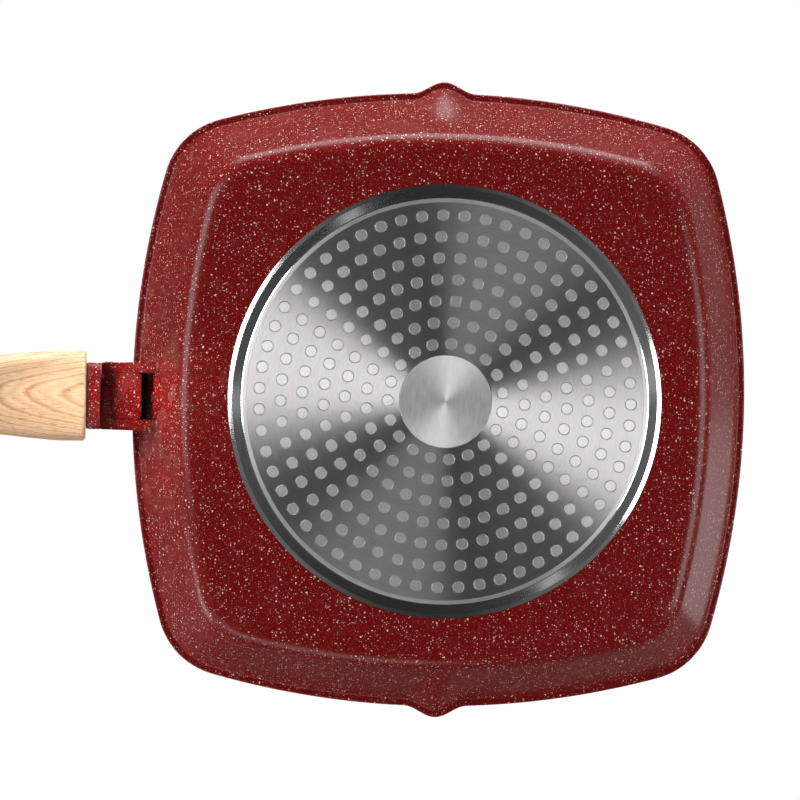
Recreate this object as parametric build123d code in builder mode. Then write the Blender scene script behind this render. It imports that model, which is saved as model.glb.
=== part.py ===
from build123d import *
import os
from math import floor, radians, sqrt, tan

os.makedirs("parts", exist_ok=True)

# Square grill pan with a folding handle. The base rests on z = 0 with its centre at the origin,
# the cooking side faces +Z and the handle leaves towards -X. All sizes are in millimetres.

# The casting: a bowed square dish with an overhanging rim
pan_size = 280.0
pan_height = 45.0
rim_bow_radius = 380.0
rim_corner_radius = 34.5
rim_overhang = 3.3
rim_thickness = 3.6
wall_lean = 26.5
wall_thickness = 3.6
floor_thickness = 4.6
foot_bow_radius = 360.0
foot_corner_radius = 30.0
foot_edge_radius = 10.0
floor_edge_radius = 5.0

# The pouring lips, one in the middle of each side beside the handle
spout_reach = 5.0
spout_radius = 16.0
spout_blend_radius = 10.0
spout_root_radius = 8.0
spout_root_height = 12.0

# The ridges that mark the food
ridge_pitch = 13.0
ridge_width = 5.0
ridge_height = 2.6
ridge_draft = 20.0
ridge_margin = 10.0

# The turned foot and the perforated disc pressed into it
foot_height = 1.6
foot_ring_radius = 96.3
foot_ring_chamfer = 1.1
foot_bevel_drop = 0.9
foot_land_radius = 90.0
disc_radius = 88.2
disc_thickness = 0.7
disc_clearance = 0.08
medallion_radius = 20.5
dot_radius = 2.5
dot_recess = 0.05
dot_ring_radius = 25.7
dot_ring_step = 9.47
dot_ring_count = 7
first_ring_count = 19
added_ring_count = 6
dot_start_angle = -85.0
square_dot_ring = 2
square_dot_size = 4.6

# The cast bracket: two arms with a lip turned inwards at each end
bracket_reach = 13.1
bracket_width = 30.0
arm_thickness = 4.5
arm_draft = 0.6
arm_bottom = 24.0
lip_length = 3.7
lip_opening = 9.8
lip_height = 8.0
root_setback = 0.85

# The hinge across the arm ends
hinge_height = 42.0
hinge_setback = 2.4
hinge_pin_radius = 1.4
hinge_pin_head_radius = 1.9
hinge_pin_head_height = 0.45
pin_clearance = 0.04
knuckle_radius = 3.0
knuckle_width = 19.2
washer_thickness = 0.5
washer_radius = 2.8
tooth_reach = 5.0
tooth_thickness = 2.6
tooth_width = 12.0

# The lock slide between the arms, and what guides and returns it
slide_side_gap = 0.4
slide_height = 6.9
slide_bottom_gap = 0.4
slide_corner_radius = 1.0
slide_neck_width = 8.9
slide_neck_gap = 0.7
slide_travel = 4.1
running_gap = 0.3
plate_thickness = 2.0
plate_bite = 1.4
plate_clearance = 0.05
stem_length = 4.4
stem_width = 6.0
catch_width = 14.0
catch_thickness = 2.5
catch_post_length = 1.6
catch_post_gap = 0.3
screw_radius = 1.25
screw_head_radius = 2.0
screw_grip = 5.0
spring_bore_radius = 2.5
spring_bore_depth = 3.8
spring_height = 3.7
spring_radius = 1.95
spring_wire_radius = 0.25
spring_turns = 5
guide_rod_radius = 1.2
guide_rod_seat = 3.4

# The ferrule between the arms and the wood
ferrule_gap = 0.3
ferrule_width = 30.0
ferrule_depth = 22.0
ferrule_corner_radius = 5.0
ferrule_length = 5.3
ferrule_top_drop = 4.0
gusset_drop = 7.0
spigot_radius = 6.0
spigot_length = 7.5
gasket_thickness = 0.8
gasket_inset = 0.3
dowel_radius = 1.5
dowel_spacing = 22.0
dowel_seat = 3.0
dowel_length = 11.0

# The wooden grip: distance from its front face, width and depth of each section
grip_length = 150.0
grip_edge = 1.8
grip_front_width = 40.6
grip_front_depth = 25.0
grip_shoulder = 13.0
grip_taper_at = 40.5
grip_taper_width = 35.6
grip_taper_depth = 23.6
grip_waist_at = 78.0
grip_waist_width = 28.5
grip_waist_depth = 21.0
grip_swell_at = 122.0
grip_swell_width = 33.0
grip_swell_depth = 23.0
grip_end_width = 29.0
grip_end_depth = 20.0
grip_end_edge = 4.0
grip_corner_radius = 10.0
wood_clearance = 0.2

# The rod through the wood, and the eye that pulls it tight
rod_radius = 3.0
rod_seat = 9.0
thread_clearance = 0.04
end_washer_radius = 8.0
end_washer_thickness = 1.5
lock_washer_radius = 5.2
lock_washer_thickness = 1.2
lock_washer_split = 1.0
eye_shank_radius = 5.5
eye_shank_length = 7.0
eye_thread_depth = 6.0
eye_ring_radius = 9.0
eye_wire_radius = 2.2
eye_bore_radius = 7.1
eye_ring_bite = 1.6

# Cast features run this far into the body that carries them
rooting = 0.5

# Levels and places that follow from the sizes above
rim_underside = pan_height - rim_thickness
wall_slope = tan(radians(wall_lean))
wall_run = wall_thickness * sqrt(1 + wall_slope**2)
inner_floor = foot_height + floor_thickness
wall_top_half = pan_size / 2 - rim_overhang


def outer_half(z):
    """Half width of the dish's outside at height z."""
    return wall_top_half - wall_slope * (rim_underside - z)


def inner_half(z):
    """Half width of the dish's inside at height z."""
    return outer_half(z) - wall_run


def bowed_square(half, bow_radius, corner_radius):
    """Add a square with bowed sides and round corners to the sketch being drawn."""
    lag = bow_radius - half
    corner = (sqrt(2 * bow_radius**2 - lag**2) - lag) / 2
    corners = [(corner, -corner), (corner, corner), (-corner, corner), (-corner, -corner)]
    with BuildSketch(mode=Mode.PRIVATE) as outline:
        with BuildLine():
            for start, end in zip(corners, corners[1:] + corners[:1]):
                RadiusArc(start, end, -bow_radius)
        make_face()
        fillet(outline.vertices(), corner_radius)
    add(outline.sketch)


def box_between(x_range, y_range, z_range, mode=Mode.ADD):
    """Add or cut a box given by its limits along each axis."""
    size = [limits[1] - limits[0] for limits in (x_range, y_range, z_range)]
    middle = [(limits[1] + limits[0]) / 2 for limits in (x_range, y_range, z_range)]
    with Locations(tuple(middle)):
        Box(*size, mode=mode)


def rod_along_x(radius, x_range, y, z, mode=Mode.ADD):
    """Add or cut a cylinder that lies along X."""
    with Locations(Location(((x_range[0] + x_range[1]) / 2, y, z), (0, 90, 0))):
        Cylinder(radius, x_range[1] - x_range[0], mode=mode)


def rod_along_y(radius, length, x, z, mode=Mode.ADD):
    """Add or cut a cylinder that lies along Y, centred on the XZ plane."""
    with Locations(Location((x, 0, z), (90, 0, 0))):
        Cylinder(radius, length, mode=mode)


arm_end = -(pan_size / 2 + bracket_reach)
arm_top = hinge_height + hinge_setback
arm_back = -outer_half(arm_bottom) + wall_run / 2
arm_inner = bracket_width / 2 - arm_thickness
hinge_x = arm_end + hinge_setback
hinge_bore_radius = hinge_pin_radius + pin_clearance
slide_bottom = arm_bottom + slide_bottom_gap
slide_top = slide_bottom + slide_height
lip_back = arm_end + lip_length
root_face = -outer_half(slide_top) + root_setback
slide_front = lip_back + slide_side_gap
slide_back = root_face - running_gap - slide_travel
spring_axis = arm_bottom + spring_height
spring_front = slide_back - spring_bore_depth
guide_rod_end = spring_front + slide_travel + running_gap
plate_bottom = slide_top + running_gap
plate_top = plate_bottom + plate_thickness
plate_back = -outer_half(plate_top) - running_gap
catch_bottom = plate_top + running_gap
catch_top = catch_bottom + catch_thickness
catch_post_top = hinge_height - tooth_thickness / 2 - catch_post_gap
catch_front = hinge_x + sqrt(tooth_reach**2 + (tooth_thickness / 2)**2) + running_gap
catch_back = -outer_half(catch_top) - running_gap - slide_travel
screw_x = catch_front + catch_post_length + running_gap + screw_head_radius
stem_front = screw_x - stem_length / 2

# The foot, the disc and the bosses share one pattern of dots
dot_rings = [
    (dot_ring_radius + ring * dot_ring_step, first_ring_count + ring * added_ring_count)
    for ring in range(dot_ring_count)
]


def dot_pattern(radius, square_size):
    """Draw every dot; one of them is square and marks the disc's turn."""
    for ring, (ring_radius, count) in enumerate(dot_rings):
        places = PolarLocations(ring_radius, count, start_angle=dot_start_angle).locations
        if ring == square_dot_ring:
            with Locations(places[0]):
                Rectangle(square_size, square_size)
            places = places[1:]
        with Locations(*places):
            Circle(radius)


# The ridges are cast with the body; they stop short of the walls all round
ridge_span = inner_half(inner_floor) - ridge_margin
ridge_count = floor(2 * ridge_span / ridge_pitch)
ridge_taper = ridge_height * tan(radians(ridge_draft))
with BuildPart() as ridges:
    with BuildSketch(Plane.YZ.offset(-ridge_span)):
        with GridLocations(ridge_pitch, 0, ridge_count, 1):
            Polygon(
                (-ridge_width / 2, inner_floor - rooting),
                (ridge_width / 2, inner_floor - rooting),
                (ridge_width / 2 - ridge_taper, inner_floor + ridge_height),
                (ridge_taper - ridge_width / 2, inner_floor + ridge_height),
                align=None,
            )
    extrude(amount=2 * ridge_span)
    with BuildSketch(Plane.XY.offset(inner_floor - rooting)):
        bowed_square(ridge_span, foot_bow_radius, foot_corner_radius)
    extrude(amount=ridge_height + rooting, mode=Mode.INTERSECT)

# Pan body: one aluminium casting with walls, rim, pouring lips, ridges, foot and bracket
spout_centre = pan_size / 2 + spout_reach - spout_radius
spout_root = foot_height + spout_root_height
spout_root_centre = outer_half(spout_root) - spout_root_radius
with BuildPart() as pan_body:
    for height, half, bow, corner in (
        (foot_height, outer_half(foot_height), foot_bow_radius, foot_corner_radius),
        (rim_underside, wall_top_half, rim_bow_radius, rim_corner_radius - rim_overhang),
    ):
        with BuildSketch(Plane.XY.offset(height)):
            bowed_square(half, bow, corner)
    loft(ruled=True)
    fillet(pan_body.faces().sort_by(Axis.Z)[0].edges(), foot_edge_radius)

    # The pouring lips swell out of the walls
    for side in (-1, 1):
        with BuildSketch(Plane.XY.offset(spout_root)):
            with Locations((0, side * spout_root_centre)):
                Circle(spout_root_radius)
        with BuildSketch(Plane.XY.offset(rim_underside)):
            with Locations((0, side * spout_centre)):
                Circle(spout_radius - rim_overhang)
        loft(ruled=True)

    # The rim band runs round the dish and both lips
    with BuildSketch(Plane.XY.offset(rim_underside)) as rim:
        bowed_square(pan_size / 2, rim_bow_radius, rim_corner_radius)
        with Locations((0, spout_centre), (0, -spout_centre)):
            Circle(spout_radius)
        fillet(rim.vertices().filter_by(lambda v: abs(v.X) < spout_radius), spout_blend_radius)
    extrude(amount=rim_thickness)

    # The bracket's arms and lips stand out of the wall
    for side in (-1, 1):
        with BuildSketch(Plane.XY.offset(arm_bottom)):
            with BuildLine():
                Polyline(
                    (arm_end, side * arm_inner),
                    (arm_end, side * bracket_width / 2),
                    (arm_end + 2 * hinge_setback, side * bracket_width / 2),
                    (arm_back, side * (bracket_width / 2 + arm_draft)),
                    (arm_back, side * arm_inner),
                    close=True,
                )
            make_face()
        extrude(amount=arm_top - arm_bottom)
    end_edges = pan_body.edges().filter_by(Axis.Y).group_by(Axis.X)[0]
    fillet(end_edges.group_by(Axis.Z)[-1], hinge_setback - pin_clearance)
    for side in (-1, 1):
        box_between(
            (arm_end, lip_back),
            sorted((side * lip_opening / 2, side * (arm_inner + pin_clearance))),
            (arm_bottom, arm_bottom + lip_height),
        )

    # Between the arms the wall is cut square above, and a small boss makes a flat seat for the spring
    box_between(
        (lip_back, root_face),
        (-arm_inner, arm_inner),
        (arm_bottom, plate_bottom - plate_clearance),
        Mode.SUBTRACT,
    )
    rod_along_x(spring_bore_radius, (root_face, arm_back), 0, spring_axis)

    # The dish is hollowed down to the floor, with a channel in each lip
    for height, corner, bow in (
        (inner_floor, foot_corner_radius, foot_bow_radius),
        (pan_height, rim_corner_radius - rim_overhang, rim_bow_radius),
    ):
        with BuildSketch(Plane.XY.offset(height)):
            bowed_square(inner_half(height), bow - wall_run, corner - wall_run)
    loft(ruled=True, mode=Mode.SUBTRACT)
    floor_face = pan_body.faces().filter_by(Axis.Z).filter_by(
        lambda f: abs(f.center().Z - inner_floor) < 0.01
    )
    fillet(floor_face.edges(), floor_edge_radius)
    channel_root = spout_root + floor_thickness
    for side in (-1, 1):
        with BuildSketch(Plane.XY.offset(channel_root)):
            with Locations((0, side * (inner_half(channel_root) - spout_root_radius))):
                Circle(spout_root_radius)
        with BuildSketch(Plane.XY.offset(pan_height)):
            with Locations((0, side * spout_centre)):
                Circle(spout_radius - rim_overhang - wall_run + wall_slope * rim_thickness)
        loft(ruled=True, mode=Mode.SUBTRACT)

    add(ridges.part)

    # Grooves in the arms hold the slide plate, and cross bores hold the hinge pin and the guide rod
    for side in (-1, 1):
        box_between(
            (arm_end, plate_back + plate_clearance),
            sorted((side * (arm_inner - plate_clearance), side * (arm_inner + plate_bite))),
            (plate_bottom - plate_clearance, plate_top + plate_clearance),
            Mode.SUBTRACT,
        )
    rod_along_y(hinge_bore_radius, 2 * bracket_width, hinge_x, hinge_height, Mode.SUBTRACT)
    rod_along_x(
        guide_rod_radius + pin_clearance,
        (root_face, root_face + guide_rod_seat),
        0,
        spring_axis,
        Mode.SUBTRACT,
    )

    # The foot is turned bare, with a recess for the disc and the bosses that hold it
    recess_roof = disc_thickness + dot_recess
    with BuildSketch(Plane.XZ):
        with BuildLine():
            Polyline(
                (0, foot_height + rooting),
                (foot_ring_radius, foot_height + rooting),
                (foot_ring_radius, foot_bevel_drop + foot_ring_chamfer / 2),
                (foot_ring_radius - foot_ring_chamfer, foot_bevel_drop),
                (foot_land_radius, 0),
                (disc_radius + disc_clearance, 0),
                (disc_radius + disc_clearance, recess_roof),
                (0, recess_roof),
                close=True,
            )
        make_face()
    revolve(axis=Axis.Z)
    with BuildSketch(Plane.XY.offset(dot_recess)):
        Circle(medallion_radius)
        dot_pattern(dot_radius, square_dot_size)
    extrude(amount=disc_thickness)

# Induction disc: perforated magnetic steel, pressed over the bosses
with BuildPart() as induction_disc:
    with BuildSketch():
        Circle(disc_radius)
        with BuildSketch(mode=Mode.PRIVATE) as holes:
            Circle(medallion_radius + disc_clearance)
            dot_pattern(dot_radius + disc_clearance, square_dot_size + 2 * disc_clearance)
        add(holes.sketch, mode=Mode.SUBTRACT)
    extrude(amount=disc_thickness)

# Hinge pin: steel, riveted over at both ends
with BuildPart() as hinge_pin:
    rod_along_y(hinge_pin_radius, bracket_width, hinge_x, hinge_height)
    for side in (-1, 1):
        with BuildSketch(Plane.XZ.offset(-side * bracket_width / 2)):
            with Locations((hinge_x, hinge_height)):
                Circle(hinge_pin_head_radius)
        extrude(amount=-side * hinge_pin_head_height)
        head_rim = hinge_pin.edges().filter_by(GeomType.CIRCLE).sort_by(Axis.Y)[-1 if side > 0 else 0]
        fillet(head_rim, hinge_pin_head_height * 0.8)

# Hinge washers: one on each side of the knuckle
washer_middle = (arm_inner + knuckle_width / 2) / 2
with BuildPart() as hinge_washers:
    for side in (-1, 1):
        with Locations(Location((hinge_x, side * washer_middle, hinge_height), (90, 0, 0))):
            Cylinder(washer_radius, washer_thickness)
    rod_along_y(hinge_bore_radius, bracket_width, hinge_x, hinge_height, Mode.SUBTRACT)

# Handle ferrule: casting with a hinge tongue on top and a spigot into the wood
ferrule_front = arm_end - ferrule_gap
ferrule_back = ferrule_front - ferrule_length
ferrule_top = hinge_height - ferrule_top_drop
handle_axis = ferrule_top - ferrule_depth / 2
grip_front = ferrule_back - gasket_thickness
spigot_end = grip_front - spigot_length
with BuildPart() as handle_ferrule:
    with BuildSketch(Plane.YZ.offset(ferrule_back)):
        with Locations((0, handle_axis)):
            RectangleRounded(ferrule_width, ferrule_depth, ferrule_corner_radius)
    extrude(amount=ferrule_length)
    with BuildSketch(Plane.XZ) as tongue:
        with BuildLine():
            Polyline(
                (ferrule_back + gasket_inset, hinge_height - gusset_drop),
                (ferrule_front, hinge_height - gusset_drop),
                (hinge_x, hinge_height - knuckle_radius),
                (hinge_x, hinge_height + knuckle_radius),
                (ferrule_back + gasket_inset, ferrule_top),
                close=True,
            )
        make_face()
        with Locations((hinge_x, hinge_height)):
            Circle(knuckle_radius)
    extrude(amount=knuckle_width / 2, both=True)
    box_between(
        (hinge_x, hinge_x + tooth_reach),
        (-tooth_width / 2, tooth_width / 2),
        (hinge_height - tooth_thickness / 2, hinge_height + tooth_thickness / 2),
    )
    rod_along_y(hinge_bore_radius, bracket_width, hinge_x, hinge_height, Mode.SUBTRACT)
    rod_along_x(spigot_radius, (spigot_end, ferrule_back), 0, handle_axis)
    rod_along_x(
        rod_radius + thread_clearance,
        (spigot_end, spigot_end + rod_seat + running_gap),
        0,
        handle_axis,
        Mode.SUBTRACT,
    )
    for side in (-1, 1):
        rod_along_x(
            dowel_radius + pin_clearance,
            (ferrule_back, ferrule_back + dowel_seat + pin_clearance),
            side * dowel_spacing / 2,
            handle_axis,
            Mode.SUBTRACT,
        )

# Ferrule gasket: dark heat washer in the seam between ferrule and wood
with BuildPart() as ferrule_gasket:
    with BuildSketch(Plane.YZ.offset(grip_front)):
        with Locations((0, handle_axis)):
            RectangleRounded(
                ferrule_width - 2 * gasket_inset,
                ferrule_depth - 2 * gasket_inset,
                ferrule_corner_radius - gasket_inset,
            )
            Circle(spigot_radius + wood_clearance, mode=Mode.SUBTRACT)
        with Locations((-dowel_spacing / 2, handle_axis), (dowel_spacing / 2, handle_axis)):
            Circle(dowel_radius + wood_clearance, mode=Mode.SUBTRACT)
    extrude(amount=gasket_thickness)

# Ferrule dowels: two steel pins that keep the wood from turning
dowel_front = ferrule_back + dowel_seat
with BuildPart() as ferrule_dowels:
    for side in (-1, 1):
        rod_along_x(
            dowel_radius,
            (dowel_front - dowel_length, dowel_front),
            side * dowel_spacing / 2,
            handle_axis,
        )

# Handle grip: ash, shaped and drilled from end to end
grip_end = grip_front - grip_length
grip_sections = (
    (0, grip_front_width, grip_front_depth),
    (grip_shoulder, grip_front_width, grip_front_depth),
    (grip_taper_at, grip_taper_width, grip_taper_depth),
    (grip_waist_at, grip_waist_width, grip_waist_depth),
    (grip_swell_at, grip_swell_width, grip_swell_depth),
    (grip_length, grip_end_width, grip_end_depth),
)
with BuildPart() as handle_grip:
    for distance, width, depth in grip_sections:
        with BuildSketch(Plane.YZ.offset(grip_front - distance)):
            with Locations((0, handle_axis)):
                RectangleRounded(width, depth, min(grip_corner_radius, 0.46 * depth))
    loft()
    fillet(handle_grip.faces().sort_by(Axis.X)[-1].edges(), grip_edge)
    fillet(handle_grip.faces().sort_by(Axis.X)[0].edges(), grip_end_edge)
    rod_along_x(rod_radius + wood_clearance, (grip_end, grip_front), 0, handle_axis, Mode.SUBTRACT)
    rod_along_x(
        spigot_radius + wood_clearance,
        (spigot_end - wood_clearance, grip_front),
        0,
        handle_axis,
        Mode.SUBTRACT,
    )
    for side in (-1, 1):
        rod_along_x(
            dowel_radius + wood_clearance,
            (dowel_front - dowel_length - wood_clearance, grip_front),
            side * dowel_spacing / 2,
            handle_axis,
            Mode.SUBTRACT,
        )

# Tie rod: threaded steel rod from the spigot to the eye
washer_back = grip_end - end_washer_thickness
shank_front = washer_back - lock_washer_thickness
rod_end = shank_front - eye_thread_depth
with BuildPart() as tie_rod:
    rod_along_x(rod_radius, (rod_end, spigot_end + rod_seat), 0, handle_axis)

# End washer: flat steel washer against the wood
with BuildPart() as end_washer:
    rod_along_x(end_washer_radius, (washer_back, grip_end), 0, handle_axis)
    fillet(end_washer.edges().filter_by(GeomType.CIRCLE).sort_by(Axis.X)[0], end_washer_thickness / 3)
    rod_along_x(rod_radius + wood_clearance, (washer_back, grip_end), 0, handle_axis, Mode.SUBTRACT)

# Rod lock washer: split spring washer
with BuildPart() as rod_lock_washer:
    rod_along_x(lock_washer_radius, (shank_front, washer_back), 0, handle_axis)
    rod_along_x(rod_radius + wood_clearance, (shank_front, washer_back), 0, handle_axis, Mode.SUBTRACT)
    box_between(
        (shank_front, washer_back),
        (-lock_washer_split / 2, lock_washer_split / 2),
        (handle_axis, handle_axis + 2 * lock_washer_radius),
        Mode.SUBTRACT,
    )

# Hanging eye: a threaded shank with a ring
shank_end = shank_front - eye_shank_length
eye_centre = shank_end - eye_ring_radius - eye_wire_radius + eye_ring_bite
with BuildPart() as hanging_eye:
    rod_along_x(eye_shank_radius, (shank_end, shank_front), 0, handle_axis)
    fillet(hanging_eye.edges().filter_by(GeomType.CIRCLE).sort_by(Axis.X)[0], eye_shank_radius / 4)
    with Locations((eye_centre, 0, handle_axis)):
        Torus(eye_ring_radius, eye_wire_radius)
        Cylinder(eye_bore_radius, 2 * eye_shank_radius, mode=Mode.SUBTRACT)
    rod_along_x(
        rod_radius + thread_clearance,
        (rod_end - thread_clearance, shank_front),
        0,
        handle_axis,
        Mode.SUBTRACT,
    )

# Lock slide: T-shaped block that hangs under the plate and moves towards the pan
slide_half = arm_inner - slide_side_gap
with BuildPart() as lock_slide:
    with BuildSketch(Plane.XY.offset(slide_bottom)) as tee:
        with Locations(((slide_front + slide_back) / 2, 0)):
            RectangleRounded(slide_back - slide_front, 2 * slide_half, slide_corner_radius)
        neck_front = arm_end - ferrule_gap + slide_neck_gap
        with Locations(((neck_front + slide_front + slide_corner_radius) / 2, 0)):
            Rectangle(slide_front + slide_corner_radius - neck_front, slide_neck_width)
    extrude(amount=slide_height)
    rod_along_x(spring_bore_radius, (spring_front, slide_back), 0, spring_axis, Mode.SUBTRACT)
    with Locations((screw_x, 0, slide_top)):
        Cylinder(
            screw_radius + thread_clearance,
            screw_grip,
            align=(Align.CENTER, Align.CENTER, Align.MAX),
            mode=Mode.SUBTRACT,
        )

# Slide plate: steel plate in the grooves of the arms, with a slot for the catch
with BuildPart() as slide_plate:
    plate_half = arm_inner + plate_bite - plate_clearance
    box_between((slide_front, plate_back), (-plate_half, plate_half), (plate_bottom, plate_top))
    slot_ends = (stem_front - running_gap, stem_front + stem_length + slide_travel + running_gap)
    slot_half = stem_width / 2 + running_gap
    box_between(slot_ends, (-slot_half, slot_half), (plate_bottom, plate_top), Mode.SUBTRACT)

# Lock catch: thumb piece above the plate, with a stem down to the slide
with BuildPart() as lock_catch:
    box_between(
        (catch_front, catch_back), (-catch_width / 2, catch_width / 2), (catch_bottom, catch_top)
    )
    box_between(
        (catch_front, catch_front + catch_post_length),
        (-catch_width / 2, catch_width / 2),
        (catch_top, catch_post_top),
    )
    box_between(
        (stem_front, stem_front + stem_length),
        (-stem_width / 2, stem_width / 2),
        (slide_top, catch_bottom),
    )
    with Locations((screw_x, 0, catch_top)):
        CounterSinkHole(
            screw_radius + thread_clearance,
            screw_head_radius + thread_clearance,
            counter_sink_angle=90,
        )

# Catch screw: countersunk, from the catch down into the slide
with BuildPart() as catch_screw:
    with Locations((screw_x, 0, catch_top)):
        Cone(
            screw_radius,
            screw_head_radius,
            screw_head_radius - screw_radius,
            align=(Align.CENTER, Align.CENTER, Align.MAX),
        )
        Cylinder(
            screw_radius,
            catch_top - slide_top + screw_grip - running_gap,
            align=(Align.CENTER, Align.CENTER, Align.MAX),
        )

# Lock guide rod: steel pin in the spring's seat that carries the spring
with BuildPart() as lock_guide_rod:
    rod_along_x(
        guide_rod_radius,
        (guide_rod_end, root_face + guide_rod_seat - pin_clearance),
        0,
        spring_axis,
    )

# Lock spring: one open coil between the slide and its seat on the wall
spring_length = root_face - spring_front - 2 * spring_wire_radius
spring_pitch = spring_length / spring_turns
with BuildPart() as lock_spring:
    with BuildLine() as coil:
        Helix(
            pitch=spring_pitch,
            height=spring_length,
            radius=spring_radius,
            center=(spring_front + spring_wire_radius, 0, spring_axis),
            direction=(1, 0, 0),
        )
    with BuildSketch(Plane(origin=coil.line @ 0, z_dir=coil.line % 0)):
        Circle(spring_wire_radius)
    sweep(path=coil.line, is_frenet=True)
print("lock spring: least gap between turns", round(spring_pitch - 2 * spring_wire_radius, 2))

pieces = {
    "pan_body": pan_body,
    "induction_disc": induction_disc,
    "hinge_pin": hinge_pin,
    "hinge_washers": hinge_washers,
    "handle_ferrule": handle_ferrule,
    "ferrule_gasket": ferrule_gasket,
    "ferrule_dowels": ferrule_dowels,
    "handle_grip": handle_grip,
    "tie_rod": tie_rod,
    "end_washer": end_washer,
    "rod_lock_washer": rod_lock_washer,
    "hanging_eye": hanging_eye,
    "lock_slide": lock_slide,
    "slide_plate": slide_plate,
    "lock_catch": lock_catch,
    "catch_screw": catch_screw,
    "lock_guide_rod": lock_guide_rod,
    "lock_spring": lock_spring,
}
for name, piece in pieces.items():
    piece.part.label = name
    export_step(piece.part, f"parts/{name}.step")
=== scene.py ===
from math import atan2, ceil, cos, pi, radians, sin, sqrt, tan

import bmesh
import bpy
from mathutils import Matrix, Quaternion, Vector


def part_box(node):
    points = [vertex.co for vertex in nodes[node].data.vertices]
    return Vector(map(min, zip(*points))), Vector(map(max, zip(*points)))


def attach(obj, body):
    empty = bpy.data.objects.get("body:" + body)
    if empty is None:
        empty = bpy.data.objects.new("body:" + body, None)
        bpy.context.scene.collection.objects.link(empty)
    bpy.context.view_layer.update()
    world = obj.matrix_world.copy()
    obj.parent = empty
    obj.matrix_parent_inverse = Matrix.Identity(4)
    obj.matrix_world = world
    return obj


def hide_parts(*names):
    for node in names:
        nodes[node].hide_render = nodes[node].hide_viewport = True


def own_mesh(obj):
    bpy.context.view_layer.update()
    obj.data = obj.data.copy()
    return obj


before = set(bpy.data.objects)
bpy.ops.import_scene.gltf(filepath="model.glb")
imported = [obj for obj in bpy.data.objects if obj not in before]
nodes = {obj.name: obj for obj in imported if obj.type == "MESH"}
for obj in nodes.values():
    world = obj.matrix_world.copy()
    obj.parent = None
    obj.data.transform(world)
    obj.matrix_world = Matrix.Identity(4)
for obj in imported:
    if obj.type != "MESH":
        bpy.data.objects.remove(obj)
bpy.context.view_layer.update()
mm = 0.001


# The table and its lamps. The pan stands on a pale sheet that shows only from above and fades out round it,
# and the camera looks up through the sheet at the bare foot. Big soft boxes stand round and over the pan,
# small cards below it glance off the foot's bevel, and a narrow spot lights the bracket.
class Mix:
    """A value in a node tree. Arithmetic on it adds Math nodes, and node() adds any other kind."""

    def __init__(self, tree, socket=None):
        self.tree = tree
        self.socket = socket

    def node(self, kind, settings={}, sockets={}, output=0):
        made = self.tree.nodes.new(kind)
        for name, value in settings.items():
            if name == "stops":
                while len(made.color_ramp.elements) > 1:
                    made.color_ramp.elements.remove(made.color_ramp.elements[-1])
                made.color_ramp.elements[0].position = value[0][0]
                made.color_ramp.elements[0].color = (*value[0][1], 1)
                for place, color in value[1:]:
                    made.color_ramp.elements.new(place).color = (*color, 1)
            else:
                setattr(made, name, value)
        for name, value in sockets.items():
            if isinstance(value, Mix):
                self.tree.links.new(value.socket, made.inputs[name])
            else:
                made.inputs[name].default_value = value
        return Mix(self.tree, made.outputs[output] if made.outputs else None)

    def math(self, operation, *values):
        return self.node("ShaderNodeMath", {"operation": operation}, dict(enumerate(values)))

    def vector(self, operation, *values):
        return self.node("ShaderNodeVectorMath", {"operation": operation}, dict(enumerate(values)))

    def blend(self, low, high):
        """A colour between low and high, by this value."""
        return self.node(
            "ShaderNodeMix",
            {"data_type": "RGBA"},
            {
                0: self,
                6: low if isinstance(low, Mix) else (*low, 1),
                7: high if isinstance(high, Mix) else (*high, 1),
            },
            output=2,
        )

    def clip(self):
        return self.node("ShaderNodeClamp", {}, {0: self})

    def __add__(self, other):
        return self.math("ADD", self, other)

    def __sub__(self, other):
        return self.math("SUBTRACT", self, other)

    def __rsub__(self, other):
        return self.math("SUBTRACT", other, self)

    def __mul__(self, other):
        return self.math("MULTIPLY", self, other)

    def __truediv__(self, other):
        return self.math("DIVIDE", self, other)

    def __pow__(self, other):
        return self.math("POWER", self, other)

    __radd__ = __add__
    __rmul__ = __mul__


# how bright the room is below, at its left and right, on its walls and on its roof
room_dark = 0.025
room_side = 0.10
room_wall = 0.19
room_roof = 0.85
world = bpy.data.worlds.new("studio")
world.use_nodes = True
world.node_tree.nodes.clear()
bpy.context.scene.world = world
sky = Mix(world.node_tree)
camera_ray, glossy_ray, clear_ray = [
    sky.node("ShaderNodeLightPath", output=name)
    for name in ("Is Camera Ray", "Is Glossy Ray", "Is Transmission Ray")
]
toward = sky.node("ShaderNodeTexCoord", output="Generated")
across, upward = [sky.node("ShaderNodeSeparateXYZ", {}, {0: toward}, output=n) for n in ("X", "Z")]
beside = (across * across * 5).clip() * room_side + room_dark
walls = ((upward + 0.05) * 4).clip() * (room_wall - room_side)
roof = ((upward - 0.75) * 5).clip() * (room_roof - room_wall)
room = beside + (walls + roof) * ((across + 1.2) * 0.8).clip()
seen = (camera_ray + clear_ray).clip()
strength = seen + (1 - seen) * room * (glossy_ray * 0.75 + 0.25)
background = sky.node("ShaderNodeBackground", {}, {"Color": (1, 1, 1, 1), "Strength": strength})
sky.node("ShaderNodeOutputWorld", {}, {"Surface": background})

lamp_distance = 1.3
bracket_middle = Vector((-0.141, -0.001, 0.024))
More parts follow.
